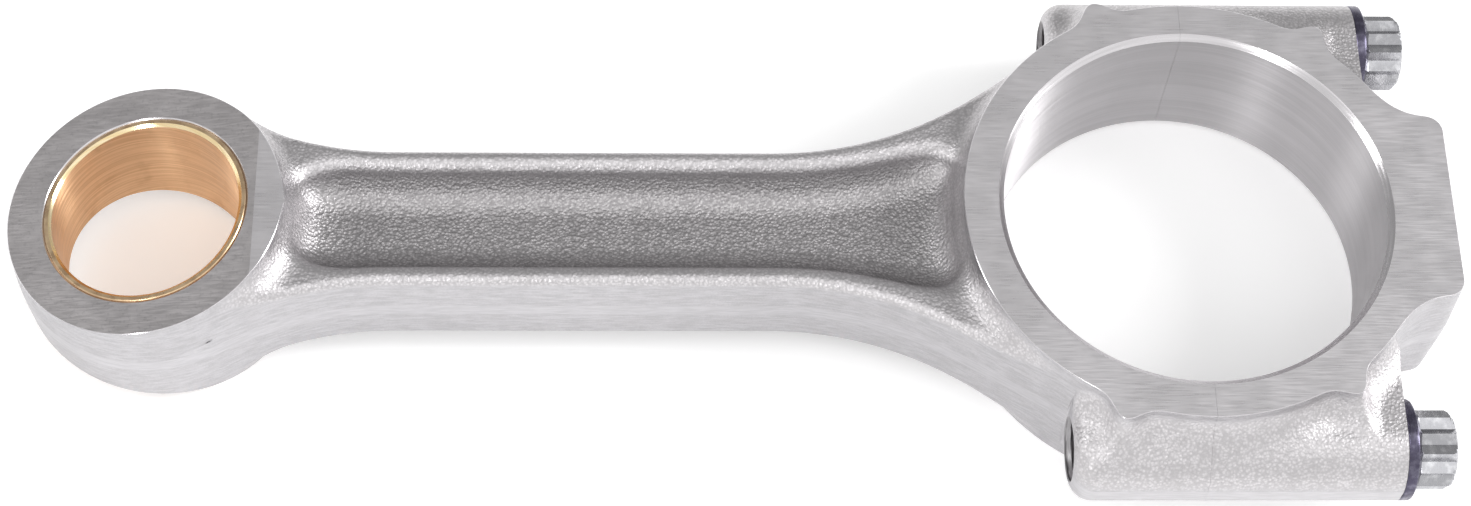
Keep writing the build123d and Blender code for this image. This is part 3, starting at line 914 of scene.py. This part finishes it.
def forged_skin(name):
    """The blasted skin: dents over the whole, a grey of their own for the sides and the tops, a darker grey
    on the pocket's floor and a darker one still on its walls as painted shade in the recess, and wide
    stained patches."""
    bench = Bench(name, 0.4)
    pocket = bench.add("ShaderNodeAttribute", attribute_name="pocket").outputs["Fac"]
    level = bench.ramp(bench.facing_up(), 0, 1, 0.05, 0.45)
    dents, grain, patches = bench.pits(0.44), bench.noise(0.24, 2), bench.noise(3.0, 4)
    streaks = bench.noise(0.4, 3, (6, 6, 1))
    speck = bench.ramp(bench.math("ADD", dents, bench.math("MULTIPLY", grain, 0.5)), 0, 1, 0.35, 0.95)
    side = bench.blend(bench.ramp(streaks, 0, 1, 0.3, 0.7), grey(0.45, -0.004), grey(0.54, -0.004))
    top = bench.blend(speck, grey(0.64, 0.006), grey(0.49, 0.006))
    # painted shade: the pocket's grey is darker than the tops', and its steep walls darker still, for the
    # shade down in the recess
    pocket_shaded = bench.blend(speck, grey(0.53, 0.01), grey(0.32, 0.01))
    wall_shade = bench.ramp(bench.facing_up(), 0, 1, 0.3, 0.92)
    pocket_shaded = bench.blend(wall_shade, grey(0.22, 0.01), pocket_shaded)
    skin = bench.blend(pocket, bench.blend(level, side, top), pocket_shaded)
    skin = bench.blend(bench.ramp(patches, 0, 0.3, 0.45, 0.75), skin, grey(0.42, 0.01))  # stained patches
    roughness = bench.ramp(grain, 0.34, 0.54, 0.25, 0.75)
    rough_ground = bench.math("ADD", bench.ramp(level, 0.35, 1), bench.math("MULTIPLY", pocket, 0.7))
    relief = bench.bump(streaks, 0.02, 0.6)
    relief = bench.bump(bench.math("MULTIPLY", dents, rough_ground), 0.065, 1.0, relief)
    relief = bench.bump(bench.math("MULTIPLY", grain, rough_ground), 0.045, 1.0, relief)
    return bench.finish(skin, roughness, bench.bump(patches, 0.1, 0.5, relief))


def trimmed_band(name):
    """The band where the flash was sheared off, with short lines along the rod."""
    bench = Bench(name, 0.38)
    tears = bench.noise(0.35, 3, (7, 7, 1))
    colour = bench.blend(bench.ramp(tears, 0, 1, 0.3, 0.7), grey(0.47, -0.004), grey(0.56, -0.004))
    return bench.finish(colour, bench.ramp(tears, 0.3, 0.45), bench.bump(tears, 0.015))


# %% [markdown]
# ## Machined steel
# A machined face is its scratches. They are noise stretched a long way in the tool's direction: along the
# rod on the ground faces, and round the axis in the bores, where a height alone tells the scratches apart.

# %% Machined finishes
def machined(name, dark, light, roughness, stretch, size=0.16, depth=0.002,
             specks=0.0, spread=0.0, warm=0.003):
    """Steel between two greys with scratches of a size and depth in mm, longer by stretch along each axis,
    with small dark specks where specks is above nothing."""
    bench = Bench(name, roughness)
    bench.brushed_round(spread)
    scratches, broad = bench.noise(size, 2, stretch), bench.noise(size * 7, 2, stretch)
    cloud = bench.noise(5.0, 3)
    share = bench.math("ADD", bench.math("MULTIPLY", scratches, 0.6), bench.math("MULTIPLY", broad, 0.4))
    colour = bench.blend(bench.ramp(share, 0, 1, 0.35, 0.65), grey(dark, warm), grey(light, warm))
    if specks:
        spots = bench.ramp(bench.noise(0.5, 2), 0, specks, 0.56, 0.68)
        colour = bench.blend(spots, colour, grey(dark * 0.55))
    scuffed = bench.ramp(scratches, roughness - 0.05, roughness + 0.07, 0.3, 0.7)
    shine = bench.math("ADD", bench.ramp(cloud, -0.03, 0.04, 0.3, 0.7), scuffed)
    relief = bench.bump(broad, depth * 2, 0.7)
    return bench.finish(colour, shine, bench.bump(scratches, depth, 1.0, relief))


ALONG = (30, 1, 30)  # scratches along the rod, whichever way a face looks
ROUND = (45, 45, 1)  # scratches round a bore
steel = {
    "forged_skin": forged_skin("forged_skin"),
    "trimmed_band": trimmed_band("trimmed_band"),
    "ground_face": machined("ground_face", 0.78, 0.80, 0.33, ALONG, 0.14, 0.0004),
    "ground_wedge": machined("ground_wedge", 0.56, 0.61, 0.36, (12, 1, 12), 0.2, 0.0015, 0.22, warm=0.02),
    "honed_bore": machined("honed_bore", 0.50, 0.58, 0.45, ROUND, 0.3, 0.002, spread=0.95),
    "cut_chamfer": machined("cut_chamfer", 0.66, 0.76, 0.2, ROUND, 0.25, 0.004),
    "turned_hole": machined("turned_hole", 0.28, 0.40, 0.38, (1, 20, 20), 0.25, 0.01),
}
for forging in (rod, cap):
    for finish_name in FINISHES:
        forging.data.materials.append(steel[finish_name])

# %% [markdown]
# ## Bronze and dark steel
# The bush is turned bronze, warm and a little dull with handling, with its lead-in chamfer cut bright.
# The bolts were hardened and blacked: their flanges kept a violet-black skin, and the heads were left a
# worn gunmetal whose points shine where a socket has gripped them.

# %% Bronze
def bronze(name, dark, light, roughness, stretch, size=0.2, spread=0.0):
    """Bronze between two colours with turning marks of a size in mm, and a little stain over them."""
    bench = Bench(name, roughness)
    bench.brushed_round(spread)
    turned, stain = bench.noise(size, 2, stretch), bench.noise(2.6, 4, (1, 1, 1.6))
    colour = bench.blend(bench.ramp(turned, 0, 1, 0.3, 0.7), dark, light)
    colour = bench.blend(bench.ramp(stain, 0, 0.3, 0.5, 0.8), colour, tuple(c * 0.72 for c in dark))
    scuffed = bench.ramp(turned, roughness - 0.05, roughness + 0.06, 0.3, 0.7)
    shine = bench.math("ADD", scuffed, bench.ramp(stain, -0.02, 0.1, 0.45, 0.8))
    return bench.finish(colour, shine, bench.bump(turned, 0.006))


TURNED = (40, 40, 1)  # turning marks round the bush
bush_metal = {
    "bronze_face": bronze("bronze_face", (0.66, 0.46, 0.28), (0.80, 0.60, 0.38), 0.3, (8, 8, 8)),
    "bronze_bore": bronze("bronze_bore", (0.66, 0.41, 0.23), (0.84, 0.57, 0.35), 0.38, TURNED, 0.35, 0.95),
    "bronze_chamfer": bronze("bronze_chamfer", (0.92, 0.72, 0.40), (0.98, 0.83, 0.55), 0.18, TURNED),
}
for finish_name in BUSH_FINISHES:
    bush.data.materials.append(bush_metal[finish_name])

# %% Dark steel
def dark_steel(name, skin, worn, roughness, wear):
    """Blacked steel, worn to bright metal in scattered patches of that share."""
    bench = Bench(name, roughness)
    scuffs, grain = bench.noise(1.1, 5), bench.noise(0.18, 2, (1, 6, 6))
    colour = bench.blend(bench.ramp(scuffs, 0, wear, 0.45, 0.75), skin, worn)
    shine = bench.ramp(grain, roughness - 0.06, roughness + 0.08, 0.3, 0.7)
    relief = bench.bump(scuffs, 0.02, 0.5)
    return bench.finish(colour, shine, bench.bump(grain, 0.008, 1.0, relief))


bolt_metal = {
    "bolt_thread": dark_steel("bolt_thread", (0.12, 0.12, 0.13), (0.3, 0.3, 0.31), 0.38, 0.5),
    "bolt_flange": dark_steel("bolt_flange", (0.085, 0.078, 0.115), (0.26, 0.25, 0.32), 0.3, 0.5),
    "bolt_head": dark_steel("bolt_head", (0.42, 0.42, 0.44), (0.68, 0.68, 0.70), 0.24, 0.7),
}
for bolt in bolts.values():
    for finish_name in BOLT_FINISHES:
        bolt.data.materials.append(bolt_metal[finish_name])

# %% [markdown]
# ## Riding on the frame
# Each new piece moves with the body that its CAD node belongs to, and stands for that node, which stays in
# the file for collisions.

# %% Ride and replace
for piece, body, node, slot in (
        (rod, "rod", "rod", "forged_steel_rod"),
        (cap, "cap", "cap", "forged_steel_cap"),
        (bush, "rod", "small_end_bush", "bush_bronze"),
        (bolts["left"], "bolt_left", "cap_bolt_left", "bolt_steel_left"),
        (bolts["right"], "bolt_right", "cap_bolt_right", "bolt_steel_right")):
    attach(piece, body)
    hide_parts(node)
    print(piece.name, "rides on", body)

# %% [markdown]
# ## Floor and light
# Bright metal is mostly a picture of what stands round it. The flanks look down at the floor, so a white
# sheet that glows a little makes them pale. The ground faces look up and away, so the room behind is kept
# dimmer than the front. A soft light hangs overhead, a narrow one stands in front to brighten the far
# walls of the pocket, and one to each side draws upright bands down the two bores.

# %% Floor
FLOOR_GLOW = 0.24  # a lit sheet, so that it stays white inside the bores
FLOOR_GAP = 0.4 * MM


def make_floor(size, colour):
    """A square sheet just under the rod, from the middle out to size metres each way."""
    z = cad_low.z - FLOOR_GAP
    mesh = bpy.data.meshes.new("floor")
    corners = [(-size, -size, z), (size, -size, z), (size, size, z), (-size, size, z)]
    mesh.from_pydata(corners, [], [(0, 1, 2, 3)])
    material = bpy.data.materials.new("white_sheet")
    material.use_nodes = True
    shader = material.node_tree.nodes["Principled BSDF"]
    shader.inputs["Base Color"].default_value = (colour, colour, colour, 1)
    shader.inputs["Roughness"].default_value = 0.9
    shader.inputs["Specular IOR Level"].default_value = 0.1
    shader.inputs["Emission Color"].default_value = (1, 1, 1, 1)
    shader.inputs["Emission Strength"].default_value = FLOOR_GLOW
    mesh.materials.append(material)
    floor = add_object("floor", mesh)


make_floor(3.0, 0.92)

# %% Room and lamps
def light_room():
    """A white room whose brightness depends on the direction: each share runs smoothly between two
    strengths, and the three are multiplied. It is dimmer behind and to the left."""
    world = bpy.data.worlds.new("studio")
    bpy.context.scene.world = world
    world.use_nodes = True
    tree = world.node_tree

    def share(value, low, high, start, end):
        """Low where the value is at start, high where it is at end, and smooth between."""
        node = tree.nodes.new("ShaderNodeMapRange")
        node.interpolation_type = "SMOOTHSTEP"
        for key, setting in (("From Min", start), ("From Max", end), ("To Min", low), ("To Max", high)):
            node.inputs[key].default_value = setting
        tree.links.new(value, node.inputs["Value"])
        return node.outputs[0]

    def product(first, second):
        """One value times another."""
        node = tree.nodes.new("ShaderNodeMath")
        node.operation = "MULTIPLY"
        tree.links.new(first, node.inputs[0])
        tree.links.new(second, node.inputs[1])
        return node.outputs[0]

    toward = tree.nodes.new("ShaderNodeSeparateXYZ")
    tree.links.new(tree.nodes.new("ShaderNodeTexCoord").outputs["Generated"], toward.inputs[0])
    across, away, up = toward.outputs
    left = share(across, ROOM_LEFT, 1.0, -0.5, 0.15)
    back = share(away, ROOM_FRONT, ROOM_BACK, -0.1, 0.38)
    strength = product(product(left, back), share(up, ROOM_LOW, 1.0, 0.3, 0.75))
    tree.links.new(strength, tree.nodes["Background"].inputs["Strength"])
    tree.nodes["Background"].inputs["Color"].default_value = (1, 1, 1, 1)


ROOM_LEFT, ROOM_FRONT, ROOM_BACK, ROOM_LOW = 0.85, 0.97, 0.46, 1.03
light_room()


def soft_lamp(name, place, aim, size, power):
    """An oblong of light of a size in metres and a power in watts, at a place and turned towards aim."""
    lamp = bpy.data.lights.new(name, "AREA")
    lamp.shape = "RECTANGLE"
    lamp.size, lamp.size_y = size
    lamp.energy = power
    holder = bpy.data.objects.new(name, lamp)
    bpy.context.scene.collection.objects.link(holder)
    holder.location = place
    holder.rotation_euler = (Vector(aim) - Vector(place)).to_track_quat("-Z", "Y").to_euler()


soft_lamp("overhead", (-0.05, -0.2, 0.8), (-0.06, 0, 0), (1.1, 0.5), 1.1)
soft_lamp("front_strip", (-0.34, -0.57, 0.43), (0, 0, 0), (0.05, 0.4), 0.9)
soft_lamp("right_side", (0.65, 0.04, 0.4), (0, 0, 0), (0.2, 0.4), 4.0)
soft_lamp("left_side", (-0.9, 0.04, 0.42), (-0.1, 0, 0), (0.2, 0.4), 1.6)
bpy.context.scene.view_settings.view_transform = "Standard"

# %% [markdown]
# ## Camera
# The rod is seen from above and in front, a little turned, from close enough that its near side looks
# larger. The camera's place is worked out from its angles and its distance to a point on the middle plane.

# %% Camera
ELEVATION = math.radians(62.58)
AZIMUTH = math.radians(-4.20)
ROLL = math.radians(3.88)
AIM = Vector((-63.06, -1.64, 0)) * MM
DISTANCE = 402.04 * MM
camera_data = bpy.data.cameras.new("camera")
camera_data.lens = 70.27
camera_data.sensor_width = 36
camera = bpy.data.objects.new("camera", camera_data)
bpy.context.scene.collection.objects.link(camera)
tilt = Euler((math.pi / 2 - ELEVATION, 0, 0)).to_matrix()
turn = Euler((0, 0, AZIMUTH)).to_matrix()
rolled = Euler((0, 0, ROLL)).to_matrix()
facing = turn @ tilt @ rolled
camera.rotation_euler = facing.to_euler()
camera.location = AIM + facing @ Vector((0, 0, DISTANCE))
bpy.context.scene.camera = camera
print("camera at", [round(v / MM, 1) for v in camera.location], "looking", facing @ Vector((0, 0, -1)))
